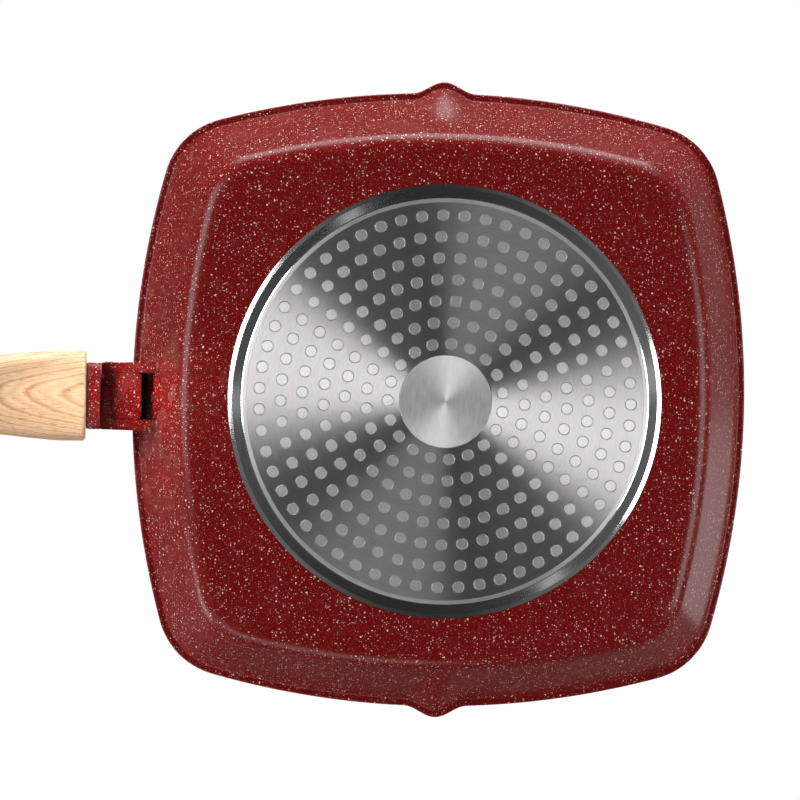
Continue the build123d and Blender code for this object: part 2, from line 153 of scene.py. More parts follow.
# name, azimuth and rise in degrees, width and height in metres, watts, spread in degrees
soft_boxes = [
    ("box_left", 196, -27, 0.95, 0.6, 12.5, 180),
    ("box_right", 8, -27, 0.85, 0.6, 9.5, 180),
    ("box_near", 110, -14, 1.10, 0.5, 5.2, 180),
    ("box_left_near", 150, 10, 0.60, 0.5, 4.5, 180),
    ("box_far_right", 292, -12, 0.90, 0.6, 3.0, 180),
    ("box_far", 270, 7, 1.40, 0.7, 21.0, 180),
    ("box_near_right", 14, 34, 0.40, 0.5, 0.7, 180),
    ("box_overhead", 230, 82, 0.90, 0.9, 11.5, 180),
    ("box_behind", 60, 74, 0.60, 0.6, 4.5, 180),
    ("card_right", 355, -65, 0.09, 0.25, 0.022, 180),
    ("card_near", 53, -66, 0.06, 0.25, 0.030, 180),
    ("card_left", 177, -73, 0.08, 0.3, 0.022, 180),
    ("card_far", 249, -71.5, 0.05, 0.25, 0.036, 180),
    ("spot_bracket", 208, -47, 0.05, 0.05, 0.016, 3.4),
]
for name, azimuth, rise, width, height, watts, spread in soft_boxes:
    lamp = bpy.data.lights.new(name, "AREA")
    lamp.shape = "RECTANGLE"
    lamp.size = width
    lamp.size_y = height
    lamp.energy = watts
    lamp.spread = radians(spread)
    box = bpy.data.objects.new(name, lamp)
    box.rotation_euler = (radians(90 - rise), 0, radians(azimuth + 90))
    box.location = box.rotation_euler.to_matrix() @ Vector((0, 0, lamp_distance))
    if spread < 180:
        box.location += bracket_middle
    box.visible_camera = False
    bpy.context.scene.collection.objects.link(box)

camera_place = Vector((-0.0876, -0.0198, -1.3773))
camera_aim = Vector((-0.0202, -0.0004, 0.0))
camera_roll = radians(-0.87)
camera_lens = 140.2
camera = bpy.data.objects.new("camera", bpy.data.cameras.new("camera"))
camera.data.lens = camera_lens
forward = (camera_aim - camera_place).normalized()
right = forward.cross(Vector((0, -1, 0))).normalized()
aimed = Matrix((right, right.cross(forward), -forward)).transposed()
camera.matrix_world = (
    Matrix.Translation(camera_place)
    @ (Quaternion(forward, camera_roll).to_matrix() @ aimed).to_4x4()
)
bpy.context.scene.collection.objects.link(camera)
bpy.context.scene.camera = camera
bpy.context.scene.view_settings.view_transform = "Standard"

table_half = 6.0
table_drop = 0.5 * mm
table_white = (0.80, 0.80, 0.80)
table_near = 0.42
table_far = 0.95
table = bpy.data.meshes.new("table")
table.from_pydata(
    [(x * table_half, y * table_half, -table_drop) for x, y in ((-1, -1), (1, -1), (1, 1), (-1, 1))],
    [],
    [(0, 1, 2, 3)],
)
table_top = bpy.data.objects.new("table", table)
table_finish = bpy.data.materials.new("table")
table_finish.use_nodes = True
table_finish.node_tree.nodes.clear()
paper = Mix(table_finish.node_tree)
grain = paper.node("ShaderNodeTexNoise", {}, {"Scale": 900.0, "Detail": 3.0})
from_below = paper.node("ShaderNodeNewGeometry", output="Backfacing")
paper_white = grain.blend(table_white, [c * 0.98 for c in table_white])
matt = paper.node("ShaderNodeBsdfDiffuse", {}, {"Color": paper_white})
clear = paper.node("ShaderNodeBsdfTransparent")
place = paper.node("ShaderNodeNewGeometry", output="Position")
reach = place.node("ShaderNodeVectorMath", {"operation": "LENGTH"}, {0: place}, output="Value")
gone = ((reach - table_near) / (table_far - table_near)).clip()
sheet = paper.node("ShaderNodeMixShader", {}, {0: (from_below + gone).clip(), 1: matt, 2: clear})
paper.node("ShaderNodeOutputMaterial", {}, {"Surface": sheet})
table.materials.append(table_finish)
table_top.visible_diffuse = False
table_top.visible_glossy = False
table_top.visible_transmission = False
table_top.visible_shadow = False
bpy.context.scene.collection.objects.link(table_top)


# The pan's dish: one aluminium casting with bowed sides, a flanged rim and two pouring lips, sprayed inside
# and out with a red stone-look coating. Its outline is carried round by one cross-section.
class Finish(Mix):
    """A material for one of the pan's finishes, with places measured in millimetres."""

    def __init__(self, name, **shader):
        self.material = bpy.data.materials.new(name)
        self.material.use_nodes = True
        super().__init__(self.material.node_tree)
        self.shader = self.tree.nodes["Principled BSDF"]
        metres = self.node("ShaderNodeTexCoord", output="Object")
        self.place = metres.vector("MULTIPLY", metres, (1000, 1000, 1000))
        self.set(**shader)

    def set(self, **shader):
        for name, value in shader.items():
            socket = self.shader.inputs[name.replace("_", " ")]
            if isinstance(value, Mix):
                self.tree.links.new(value.socket, socket)
            elif isinstance(value, (tuple, list)):
                socket.default_value = (*value, 1)
            else:
                socket.default_value = value
        return self

    def noise(self, size, detail=2.0, stretch=(1, 1, 1), roughness=0.5):
        """Cloudy noise from 0 to 1. Its lumps have that size in millimetres, times stretch on each axis."""
        spread = self.place.vector("DIVIDE", self.place, stretch)
        return self.node(
            "ShaderNodeTexNoise",
            {},
            {"Vector": spread, "Scale": 1 / size, "Detail": detail, "Roughness": roughness},
        )

    def bump(self, height, depth, strength=1.0, base=None):
        """A normal for that height, whose full range is depth in millimetres."""
        sockets = {"Height": height, "Distance": depth * mm, "Strength": strength}
        if base is not None:
            sockets["Normal"] = base
        return self.node("ShaderNodeBump", {}, sockets)


fleck_raggedness = 0.8
fleck_sharpness = 14


def flecks(finish, cell, share, size):
    """Specks of stone: about that share of cells holds one, up to size wide, and all are ragged."""
    grain = {"Vector": finish.place, "Scale": 1.6 / size, "Detail": 1.0}
    jitter = finish.node("ShaderNodeTexNoise", {}, grain, output=1)
    stray = size * fleck_raggedness
    spot = finish.place.vector("MULTIPLY_ADD", jitter, (stray, stray, stray), finish.place)
    sockets = {"Vector": spot, "Scale": 1 / cell}
    near = finish.node("ShaderNodeTexVoronoi", {}, sockets)
    tint = finish.node("ShaderNodeTexVoronoi", {}, sockets, output="Color")
    lot = finish.node("ShaderNodeSeparateXYZ", {}, {0: tint}, output="X")
    reach = ((lot - (1 - share)) / share).clip() ** 0.5 * (size / 2 / cell)
    return ((reach - near) * (fleck_sharpness * cell)).clip()


coat_red = (0.208, 0.0050, 0.0058)
coat_dark = (0.168, 0.0042, 0.0048)
coat_cream = (1.0, 0.82, 0.66)
coat_pink = (0.60, 0.36, 0.29)
coat_black = (0.010, 0.006, 0.006)
coat = Finish("red_stone_coat", Specular_IOR_Level=0.22)
ground = coat.noise(9.0, detail=4.0).blend(coat_dark, coat_red)
dust = flecks(coat, cell=0.52, share=0.75, size=0.35)
grit = flecks(coat, cell=0.90, share=0.45, size=0.56)
chips = flecks(coat, cell=1.70, share=0.36, size=0.86)
soot = flecks(coat, cell=1.90, share=0.16, size=0.70)
specked = (dust * 0.65).blend(ground, coat_pink)
specked = soot.blend(specked, coat_black)
specked = (grit * 0.95).blend(specked, coat_cream)
specked = chips.blend(specked, coat_cream)
peel = coat.noise(1.1, detail=1.0)
coat.set(
    Base_Color=specked,
    Roughness=coat.noise(14.0) * 0.06 + 0.24 + grit * 0.12,
    Normal=coat.bump(peel * 0.5 + grit * 0.3 + chips * 0.5, 0.03),
)


def rounded(corners, steps=6):
    """A polyline through corners (x, y, radius), with an arc of that radius at each inner corner."""
    points = [Vector(corners[0][:2])]
    for before, corner, after in zip(corners, corners[1:], corners[2:]):
        here = Vector(corner[:2])
        back = (Vector(before[:2]) - here).normalized()
        ahead = (Vector(after[:2]) - here).normalized()
        opening = back.angle(ahead)
        centre = here + (back + ahead).normalized() * corner[2] / sin(opening / 2)
        start = here + back * corner[2] / tan(opening / 2) - centre
        end = here + ahead * corner[2] / tan(opening / 2) - centre
        sweep = pi - opening
        for step in range(steps + 1):
            share = step / steps
            points.append(centre + (start * sin((1 - share) * sweep) + end * sin(share * sweep)) / sin(sweep))
    points.append(Vector(corners[-1][:2]))
    return points


def subdivided(points, longest):
    """The same polyline with no step longer than longest."""
    fine = [points[0]]
    for start, end in zip(points, points[1:]):
        count = max(1, ceil((end - start).length / longest))
        fine += [start.lerp(end, step / count) for step in range(1, count + 1)]
    return fine


def bowed_square(half, bow, corner, side_steps=150, corner_steps=22):
    """Points round a square with bowed sides and round corners, as many and in one order for any size."""
    lag = bow - half
    middle = (sqrt(2 * (bow - corner) ** 2 - lag**2) - lag) / 2
    spread = atan2(middle, middle + lag)
    points = []
    for quarter in range(4):
        turn = Matrix.Rotation(quarter * pi / 2, 2)
        for step in range(side_steps):
            angle = spread * (2 * step / side_steps - 1)
            points.append(turn @ Vector((bow * cos(angle) - lag, bow * sin(angle))))
        for step in range(corner_steps):
            angle = spread + (pi / 2 - 2 * spread) * step / corner_steps
            points.append(turn @ Vector((middle + corner * cos(angle), middle + corner * sin(angle))))
    return points


def skin(rings, closed=True):
    """Faces between rings of as many points, numbered ring after ring."""
    count = len(rings[0])
    faces = []
    for ring in range(len(rings) - 1):
        for step in range(count if closed else count - 1):
            a, b = ring * count + step, ring * count + (step + 1) % count
            faces.append((a, b, b + count, a + count))
    return faces


def joined(rings):
    """The points of rings in one list."""
    return [p for ring in rings for p in ring]


def piece(name, points, faces, finish, sharp=None):
    """A mesh piece with one finish. Edges sharper than that angle, in degrees, stay crisp."""
    mesh = bpy.data.meshes.new(name)
    mesh.from_pydata([tuple(p) for p in points], [], faces)
    mesh.validate()
    made = bmesh.new()
    made.from_mesh(mesh)
    bmesh.ops.remove_doubles(made, verts=made.verts, dist=1e-7)
    bmesh.ops.recalc_face_normals(made, faces=made.faces)
    made.to_mesh(mesh)
    made.free()
    mesh.shade_smooth()
    if sharp:
        mesh.set_sharp_from_angle(angle=radians(sharp))
        for face in mesh.polygons:
            face.use_smooth = abs(face.normal.z) < 0.9999
    mesh.materials.append(finish.material)
    thing = bpy.data.objects.new(name, mesh)
    bpy.context.scene.collection.objects.link(thing)
    return thing


pan_low, pan_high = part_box("pan_body")
pan_half = pan_high.x
pan_height = pan_high.z
lip_reach = pan_high.y - pan_half
rim_overhang = 3.3 * mm
rim_thickness = 3.6 * mm
rim_edge = 1.0 * mm
rim_root = 1.3 * mm
wall_slope = tan(radians(26.5))
wall_run = 3.6 * mm * sqrt(1 + wall_slope**2)
foot_height = 1.6 * mm
foot_edge = 10.0 * mm
foot_bow = 360.0 * mm
foot_corner = 30.0 * mm
floor_height = 6.2 * mm
floor_edge = 5.0 * mm
floor_ring = 100.0 * mm
longest_step = 2.4 * mm
rim_bow = 380.0 * mm
rim_corner = 31.2 * mm
rim_underside = pan_height - rim_thickness
foot_radius = 96.3 * mm
lip_root = 13.6 * mm
lip_width = 14.5 * mm
lip_root_width = 8.0 * mm
slide_room_half = 11.5 * mm
slide_room_low = 24.0 * mm
slide_room_high = 36.0 * mm
slide_room_end = -130.81 * mm


def outer_half(z):
    """Half width of the dish outside at height z."""
    return pan_half - rim_overhang - wall_slope * (rim_underside - z)


def dish_ring(half, z):
    """The dish's outline of that half width at height z, with both pouring lips."""
    level = min(z, rim_underside)
    share = (level - foot_height) / (rim_underside - foot_height)
    out = half - outer_half(level)
    bow = foot_bow + (rim_bow - foot_bow) * share + out
    corner = foot_corner + (rim_corner - foot_corner) * share + out
    rise = min(1, max(0, (level - lip_root) / (rim_underside - lip_root)))
    swell = lip_reach * rise * rise * (3 - 2 * rise)
    width = lip_root_width + (lip_width - lip_root_width) * rise
    ring = []
    for point in bowed_square(half, bow, corner):
        if abs(point.x) < width and half > outer_half(foot_height):
            point.y += (1 if point.y > 0 else -1) * swell * (0.5 + 0.5 * cos(pi * point.x / width))
        ring.append(Vector((point.x, point.y, z)))
    return ring


inner_top = outer_half(pan_height) - wall_run
profile = rounded(
    [
        (foot_radius + foot_edge / 2, foot_height, 0),
        (outer_half(foot_height), foot_height, foot_edge),
        (outer_half(rim_underside), rim_underside, rim_root),
        (pan_half, rim_underside, rim_edge),
        (pan_half, pan_height, rim_edge),
        (inner_top, pan_height, rim_edge),
        (outer_half(floor_height) - wall_run, floor_height, floor_edge),
        (floor_ring, floor_height, 0),
    ]
)
dish_rings = [dish_ring(p.x, p.y) for p in subdivided(profile, longest_step)]
# between the bracket's arms the wall is cast square, so the lock slide has room
for p in joined(dish_rings):
    if abs(p.y) < slide_room_half and slide_room_low < p.z < slide_room_high:
        p.x = max(p.x, slide_room_end)
foot_ring = [Vector((*(p.to_2d().normalized() * foot_radius), foot_height)) for p in dish_rings[0]]
dish_rings.insert(0, foot_ring)
points = joined(dish_rings)
faces = skin(dish_rings)
last = len(points) - len(foot_ring)
faces += [(last + n, last + (n + 1) % len(foot_ring), len(points)) for n in range(len(foot_ring))]
points.append(Vector((0, 0, floor_height)))
dish = piece("pan_dish", points, faces, coat)
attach(dish, "pan")
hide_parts("pan_body")


# The ridges that mark the food are cast with the dish: straight bars along the handle's direction with
# sloping sides, rounded over on top and at both ends, in the same coating.
ridge_pitch = 13.0 * mm
ridge_count = 16
ridge_half = 2.5 * mm
ridge_top_half = 1.55 * mm
ridge_height = 2.6 * mm
ridge_round = 0.7 * mm
ridge_span = 105.1 * mm
ridge_end = 3.5 * mm
ridge_end_steps = 6
ridge_sink = 0.3 * mm
ridge_section = rounded(
    [
        (-ridge_half, -ridge_sink, 0),
        (-ridge_top_half, ridge_height, ridge_round),
        (ridge_top_half, ridge_height, ridge_round),
        (ridge_half, -ridge_sink, 0),
    ],
    steps=4,
)
ridge_field = bowed_square(ridge_span, foot_bow, foot_corner)


def field_reach(y):
    """How far the ridge field runs from the middle at that y."""
    for a, b in zip(ridge_field, ridge_field[1:] + ridge_field[:1]):
        if (a.y - y) * (b.y - y) <= 0 < a.x:
            return a.x
    return 0


def add_skin(points, faces, rings, closed=True):
    """Adds the faces between rings, and the rings, to a piece's lists."""
    faces += [tuple(len(points) + n for n in face) for face in skin(rings, closed)]
    points += joined(rings)


points, faces = [], []
for number in range(ridge_count):
    y = (number - (ridge_count - 1) / 2) * ridge_pitch
    reach = field_reach(y)
    turns = [pi / 2 * step / ridge_end_steps for step in range(ridge_end_steps + 1)]
    ends = [(reach - ridge_end * (1 - sin(a)), max(cos(a), 0.02)) for a in turns]
    stations = [(-x, size) for x, size in reversed(ends)] + ends
    rings = [
        [Vector((x, y + p.x * size, floor_height + p.y * size)) for p in ridge_section]
        for x, size in stations
    ]
    add_skin(points, faces, rings, closed=False)
ridges = piece("pan_ridges", points, faces, coat, sharp=50)
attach(ridges, "pan")


# The foot is turned bare in a lathe after coating: a bright ring, a mirror-smooth bevel and a narrow land,
# with a shallow recess that takes the induction disc. Fine tool marks run round it.
def steel(name, color, roughness, marks, stroke=14, depth=0.003, **shader):
    """Bare metal with tool marks of that size in millimetres round the Z axis, and a little tarnish."""
    metal = Finish(name, Metallic=1.0, **shader)
    flat = metal.place.vector("MULTIPLY", metal.place, (1, 1, 0))
    from_middle = flat.node("ShaderNodeVectorMath", {"operation": "LENGTH"}, {0: flat}, output="Value")
    turn = flat.vector("SCALE", flat.vector("NORMALIZE", flat))
    turn.socket.node.inputs["Scale"].default_value = stroke
    polar = turn.vector("ADD", turn, turn.node("ShaderNodeCombineXYZ", {}, {2: from_middle / marks}))
    rings = metal.node("ShaderNodeTexNoise", {}, {"Vector": polar, "Scale": 1.0, "Detail": 3.0})
    cloud = metal.noise(18.0, detail=3.0)
    lines = (rings - 0.5) * 1.6 + 0.35 + cloud * 0.3
    return metal.set(
        Base_Color=lines.blend([c * 0.80 for c in color], [min(1, c * 1.14) for c in color]),
        Roughness=lines * 0.10 + (roughness - 0.05),
        Normal=metal.bump(rings, depth),
    )


def circle(x, y, radius, steps=48):
    """Points (x, y) round a circle."""
    angles = [2 * pi * n / steps for n in range(steps)]
    return [(x + radius * cos(a), y + radius * sin(a)) for a in angles]


def turned(section, steps=256):
    """Rings of points from a section (radius, z), turned round the Z axis."""
    return [[Vector((*p, station.y)) for p in circle(0, 0, station.x, steps)] for station in section]


ring_tuck = 0.06 * mm
ring_chamfer = 1.9 * mm
bevel_drop = 0.8 * mm
land_radius = 90.0 * mm
deburr_width = 0.5 * mm
deburr_lean = 26.0
disc_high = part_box("induction_disc")[1]
disc_radius = disc_high.x
disc_thickness = disc_high.z
disc_gap = 0.08 * mm
boss_recess = 0.05 * mm
foot_section = rounded(
    [
        (foot_radius, foot_height + ring_tuck, 0),
        (foot_radius - ring_chamfer, bevel_drop, 0.10 * mm),
        (land_radius + deburr_width, deburr_width * tan(radians(deburr_lean)), 0.05 * mm),
        (land_radius, 0, 0),
    ],
    steps=4,
)
rings = turned(foot_section)
bright_color = (0.84, 0.84, 0.85)
turned_bright = steel("turned_aluminium", bright_color, roughness=0.12, marks=0.30, depth=0.0008)
foot = piece("turned_foot", joined(rings), skin(rings), turned_bright, sharp=35)
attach(foot, "pan")


# The induction disc is magnetic steel sheet, punched with rings of holes and pressed into the soft
# aluminium, which rises through the holes. It is brushed with the pan turning, and one hole is square.
dot_radius = 2.44 * mm
dot_gap = 0.20 * mm
square_dot_half = 2.24 * mm
square_ring = 2
squareness = 7
dot_start = radians(-85)
first_ring = 25.7 * mm
ring_step = 9.47 * mm
medallion_radius = 20.5 * mm
hole_edge = 0.12 * mm
ring_count = 7
first_ring_dots = 19
more_dots_each_ring = 6
dots = []
for number in range(ring_count):
    count = first_ring_dots + more_dots_each_ring * number
    for step in range(count):
        angle = dot_start + 2 * pi * step / count
        radius = first_ring + number * ring_step
        is_square = number == square_ring and step == 0
        dots.append((Vector((radius * cos(angle), radius * sin(angle))), angle, is_square))


def dot_outline(middle, angle, is_square, inset, steps=40):
    """Points round a dot, drawn in by inset; the square one has round corners."""
    outline = []
    for step in range(steps):
        a = 2 * pi * step / steps
        if is_square:
            bulge = (abs(cos(a)) ** squareness + abs(sin(a)) ** squareness) ** (1 / squareness)
            size = (square_dot_half - inset) / bulge
        else:
            size = dot_radius - inset
        outline.append(middle + size * Vector((cos(a + angle), sin(a + angle))))
    return outline


sheet_curve = bpy.data.curves.new("sheet", "CURVE")
sheet_curve.dimensions = "2D"
sheet_curve.fill_mode = "BOTH"
sheet_curve.extrude = disc_thickness / 2 - hole_edge
sheet_curve.bevel_depth = hole_edge
sheet_curve.bevel_resolution = 2
sheet_curve.offset = -hole_edge
outlines = [dot_outline(*dot, -dot_gap) for dot in dots]
outlines += [circle(0, 0, radius, 256) for radius in (disc_radius, medallion_radius + dot_gap)]
for outline in outlines:
    spline = sheet_curve.splines.new("POLY")
    spline.points.add(len(outline) - 1)
    spline.points.foreach_set("co", [c for p in outline for c in (*p, 0, 1)])
    spline.use_cyclic_u = True
pattern = bpy.data.objects.new("sheet", sheet_curve)
bpy.context.scene.collection.objects.link(pattern)
punched = bpy.data.meshes.new_from_object(pattern.evaluated_get(bpy.context.evaluated_depsgraph_get()))
punched.transform(Matrix.Translation((0, 0, disc_thickness / 2)))
brushed = steel(
    "brushed_disc",
    (0.74, 0.72, 0.71),
    roughness=0.48,
    marks=0.22,
    Anisotropic=1.0,
    Anisotropic_Rotation=0.25,
)
disc = piece(
    "punched_disc",
    [vertex.co for vertex in punched.vertices],
    [tuple(face.vertices) for face in punched.polygons],
    brushed,
    sharp=30,
)
bpy.data.objects.remove(pattern)
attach(disc, "pan")
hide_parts("induction_disc")


# The bosses are the pan's own aluminium, pushed up through the disc's holes and turned off level with
# it, and the bare medallion in the middle is the largest of them.
boss_edge = 0.14 * mm
boss_foot = 0.45 * mm
# inset and height
boss_section = [
    (0, boss_foot),
    (0, boss_recess + boss_edge),
    (boss_edge * 0.3, boss_recess + boss_edge * 0.3),
    (boss_edge, boss_recess),
]
points, faces = [], []
for dot in dots:
    rings = [[Vector((*p, z)) for p in dot_outline(*dot, inset)] for inset, z in boss_section]
    add_skin(points, faces, rings)
    faces.append(tuple(range(len(points) - len(rings[0]), len(points))))
land_section = rounded(
    [
        (land_radius, 0, 0),
        (disc_radius + disc_gap, 0, boss_edge),
        (disc_radius + disc_gap, disc_thickness + boss_recess, 0.10 * mm),
        (0.1 * mm, disc_thickness + boss_recess, 0),
    ],
    steps=4,
)
add_skin(points, faces, turned(land_section))
boss_metal = steel(
    "turned_bosses",
    (0.96, 0.96, 0.97),
    roughness=0.62,
    marks=0.25,
    Anisotropic=0.75,
    Anisotropic_Rotation=0.25,
)
bosses = piece("foot_bosses", points, faces, boss_metal, sharp=40)
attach(bosses, "pan")


# The medallion is the casting's own aluminium, bare in the middle of the foot. A flat punch levelled it
# and left it bright and a little uneven, with short scuffs.
medallion_section = rounded(
    [
        (medallion_radius, boss_foot, 0),
        (medallion_radius, boss_recess, boss_edge),
        (0.02 * mm, boss_recess, 0),
    ],
    steps=4,
)
stamped = Finish("stamped_aluminium", Metallic=1.0, Anisotropic=0.5)
scuffs = stamped.noise(0.8, detail=4.0, stretch=(1, 7, 1))
dents = stamped.noise(6.0, detail=3.0)
stamped.set(
    Base_Color=(scuffs * 0.6 + dents * 0.4).blend((0.72, 0.72, 0.74), (1.0, 1.0, 1.0)),
    Roughness=scuffs * 0.25 + 0.50,
    Normal=stamped.bump(scuffs * 0.02 + dents * 0.2, 0.25),
)
rings = turned(medallion_section, steps=160)
medallion = piece("medallion", joined(rings), skin(rings), stamped, sharp=40)
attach(medallion, "pan")


# The bracket is cast on the dish's wall: two arms with a lip turned inwards at each end, and a small
# boss on the wall between them that seats the lock's spring. The coating softens its edges.
def block(axis, outline, low, high):
    """A straight solid: an outline in the plane square to that axis, carried along it from low to high."""
    order = {"X": (2, 0, 1), "Y": (0, 2, 1), "Z": (0, 1, 2)}[axis]
    solid = bmesh.new()
    face = solid.faces.new([solid.verts.new([(p[0], p[1], low)[n] for n in order]) for p in outline])
    along = Vector([(0, 0, high - low)[n] for n in order])
    grown = bmesh.ops.extrude_face_region(solid, geom=[face])["geom"]
    moved = [item for item in grown if isinstance(item, bmesh.types.BMVert)]
    bmesh.ops.translate(solid, verts=moved, vec=along)
    bmesh.ops.recalc_face_normals(solid, faces=solid.faces)
    mesh = bpy.data.meshes.new("block")
    solid.to_mesh(mesh)
    solid.free()
    made = bpy.data.objects.new("block", mesh)
    bpy.context.scene.collection.objects.link(made)
    return made


def rectangle(x0, x1, y0, y1):
    """The corners of a rectangle."""
    return [(x0, y0), (x1, y0), (x1, y1), (x0, y1)]


def cast(name, blocks, finish, edge, cuts=(), shift=None):
    """Blocks joined into one casting, less the cuts, with its edges rounded over and its points shifted."""
    body = blocks[0]
    for operation, tools in (("UNION", blocks[1:]), ("DIFFERENCE", cuts)):
        for tool in tools:
            join = body.modifiers.new("join", "BOOLEAN")
            join.operation = operation
            join.solver = "EXACT"
            join.object = tool
    soften = body.modifiers.new("soften", "BEVEL")
    soften.width = edge
    soften.segments = 3
    soften.limit_method = "ANGLE"
    soften.angle_limit = radians(32)
    body.modifiers.new("shade", "WEIGHTED_NORMAL")
    bpy.context.view_layer.update()
    mesh = bpy.data.meshes.new_from_object(body.evaluated_get(bpy.context.evaluated_depsgraph_get()))
    mesh.name = name
    for used in [*blocks, *cuts]:
        bpy.data.objects.remove(used)
    if shift:
        for vertex in mesh.vertices:
            vertex.co = shift(vertex.co)
    mesh.shade_smooth()
    mesh.materials.clear()
    mesh.materials.append(finish.material)
    made = bpy.data.objects.new(name, mesh)
    bpy.context.scene.collection.objects.link(made)
    return made


arm_end = pan_low.x
arm_low = slide_room_low
arm_toe = arm_low - 4.0 * mm
arm_toe_depth = 0.6 * mm
arm_half = 15.0 * mm
arm_thickness = 4.5 * mm
arm_edge = 0.45 * mm
arm_draft = 0.6 * mm
draft_length = 20.0 * mm
draft_depth = 1.5 * mm
hinge_height = 42.0 * mm
hinge_setback = 2.4 * mm
arm_top = hinge_height + hinge_setback
lip_back = arm_end + 3.7 * mm
lip_half_opening = 4.9 * mm
lip_top = 32.0 * mm
seat_face = slide_room_end
seat_radius = 2.5 * mm
seat_depth = 3.0 * mm
arm_fillet = 3.0 * mm
wall_middle = wall_run / 2
spring_axis = 27.7 * mm
arm_inner = arm_half - arm_thickness
slide_plate_low, slide_plate_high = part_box("slide_plate")
groove_entry = 3.0 * mm
groove_play = 0.05 * mm
groove_spread = 1.004
# how far blocks that are joined or cut run into each other
overlap = 1.0 * mm
arm_side = rounded(
    [
        (-outer_half(arm_toe) + arm_toe_depth, arm_toe, 0),
        (-outer_half(arm_low), arm_low, arm_fillet),
        (arm_end, arm_low, 0.1 * mm),
        (arm_end, arm_top, hinge_setback),
        (-outer_half(arm_top) + wall_middle, arm_top, 0),
    ]
)


def drafted(p):
    """The arms widen a little towards the wall."""
    share = min(1, max(0, (p.x - arm_end - 2 * hinge_setback) / draft_length))
    if abs(p.y) > arm_half - draft_depth:
        p.y += (arm_draft if p.y > 0 else -arm_draft) * share
    return p


bracket_parts = []
for side in (-1, 1):
    bracket_parts.append(block("Y", arm_side, *sorted((side * arm_inner, side * arm_half))))
    bracket_parts.append(block(
        "Z",
        rectangle(arm_end, lip_back, *sorted((side * lip_half_opening, side * (arm_inner + overlap)))),
        arm_low,
        lip_top,
    ))
bracket_parts.append(block("X", circle(0, spring_axis, seat_radius), seat_face, seat_face + seat_depth))
groove_ends = (slide_plate_low.x - groove_entry, slide_plate_high.x + groove_play)
groove_bottom = slide_plate_high.y * groove_spread
grooves = [
    block(
        "Z",
        rectangle(*groove_ends, *sorted((side * (arm_inner - overlap), side * groove_bottom))),
        slide_plate_low.z - groove_play,
        slide_plate_high.z + groove_play,
    )
    for side in (-1, 1)
]
bracket = cast("pan_bracket", bracket_parts, coat, arm_edge, grooves, drafted)
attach(bracket, "pan")


# The hinge pin is plain steel rod, riveted over at both ends, with a thin washer each side of the
# handle's knuckle. Both are bright but a little rubbed.
pin_steel = steel("pin_steel", (0.40, 0.39, 0.39), roughness=0.36, marks=0.8)
washer_steel = steel("washer_steel", (0.62, 0.61, 0.60), roughness=0.30, marks=0.5)


def dress(finish, *names):
    """Puts a finish on CAD nodes that are shown as they are."""
    for name in names:
        mesh = nodes[name].data
        mesh.materials.clear()
        mesh.materials.append(finish.material)


dress(pin_steel, "hinge_pin")
dress(washer_steel, "hinge_washers")


# The lock slide is a coated T-shaped casting between the arms. Its neck fills the opening between the
# lips, and its back end is bored for the return spring.
slide_low, slide_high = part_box("lock_slide")
slide_gap = 0.4 * mm
slide_front = lip_back + slide_gap
slide_back = slide_high.x
slide_half = slide_high.y
slide_edge = 0.30 * mm
neck_half = 4.45 * mm
spring_bore = 2.5 * mm
spring_bore_depth = 3.8 * mm
# x, y and radius of the corners of one half of the T
tee_half = [
    (slide_low.x, neck_half, 0.3 * mm),
    (slide_front, neck_half, 0.2 * mm),
    (slide_front, slide_half, 0.5 * mm),
    (slide_back, slide_half, 1.0 * mm),
]
tee_start = (slide_low.x, 0, 0)
tee_end = (slide_low.x, 0.01 * mm, 0)
tee = rounded([tee_start, *[(x, -y, radius) for x, y, radius in tee_half], *tee_half[::-1], tee_end], steps=4)
bore = circle(0, spring_axis, spring_bore)
slide = cast(
    "slide_block",
    [block("Z", tee, slide_low.z, slide_high.z)],
    coat,
    slide_edge,
    [block("X", bore, slide_back - spring_bore_depth, slide_back + overlap)],
)
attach(slide, "lock")
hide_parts("lock_slide")


# The spring and the rod that guides it are steel wire and rod, and the slide plate above them is sheet
# steel. All are blackened in oil against rust. In the pan the spring is pressed together as the slide moves;
# here it is one unchanged piece that moves with the lock.
black_steel = steel("black_steel", (0.012, 0.011, 0.011), roughness=0.55, marks=0.3)
dress(black_steel, "lock_guide_rod", "slide_plate")
coil = nodes["lock_spring"]
spring = piece(
    "return_spring",
    [coil.matrix_world @ vertex.co for vertex in coil.data.vertices],
    [tuple(face.vertices) for face in coil.data.polygons],
    black_steel,
)
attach(spring, "lock")
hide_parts("lock_spring")
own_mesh(spring)


# The lock catch is the thumb piece above the plate, a small coated casting held to the slide by one
# countersunk screw with a plain slot.
catch_low, catch_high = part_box("lock_catch")
catch_gap = 0.3 * mm
catch_thickness = 2.5 * mm
catch_post_thickness = 1.6 * mm
catch_edge = 0.35 * mm
stem_half_length = 2.2 * mm
stem_half_width = 3.0 * mm
catch_plate_low = slide_plate_high.z + catch_gap
catch_plate_high = catch_plate_low + catch_thickness
catch_post_back = catch_low.x + catch_post_thickness
catch_sides = (catch_low.y, catch_high.y)
screw_low, screw_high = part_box("catch_screw")
screw_x = (screw_low.x + screw_high.x) / 2
stem = rectangle(screw_x - stem_half_length, screw_x + stem_half_length, -stem_half_width, stem_half_width)
catch_plate = rectangle(catch_low.x, catch_high.x, *catch_sides)
catch_post = rectangle(catch_low.x, catch_post_back, *catch_sides)
catch_blocks = [
    block("Z", catch_plate, catch_plate_low, catch_plate_high),
    block("Z", catch_post, catch_plate_high - overlap, catch_high.z),
    block("Z", stem, catch_low.z, catch_plate_low + overlap),
]
catch = cast("thumb_catch", catch_blocks, coat, catch_edge)
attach(catch, "lock")
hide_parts("lock_catch")
dress(washer_steel, "catch_screw")


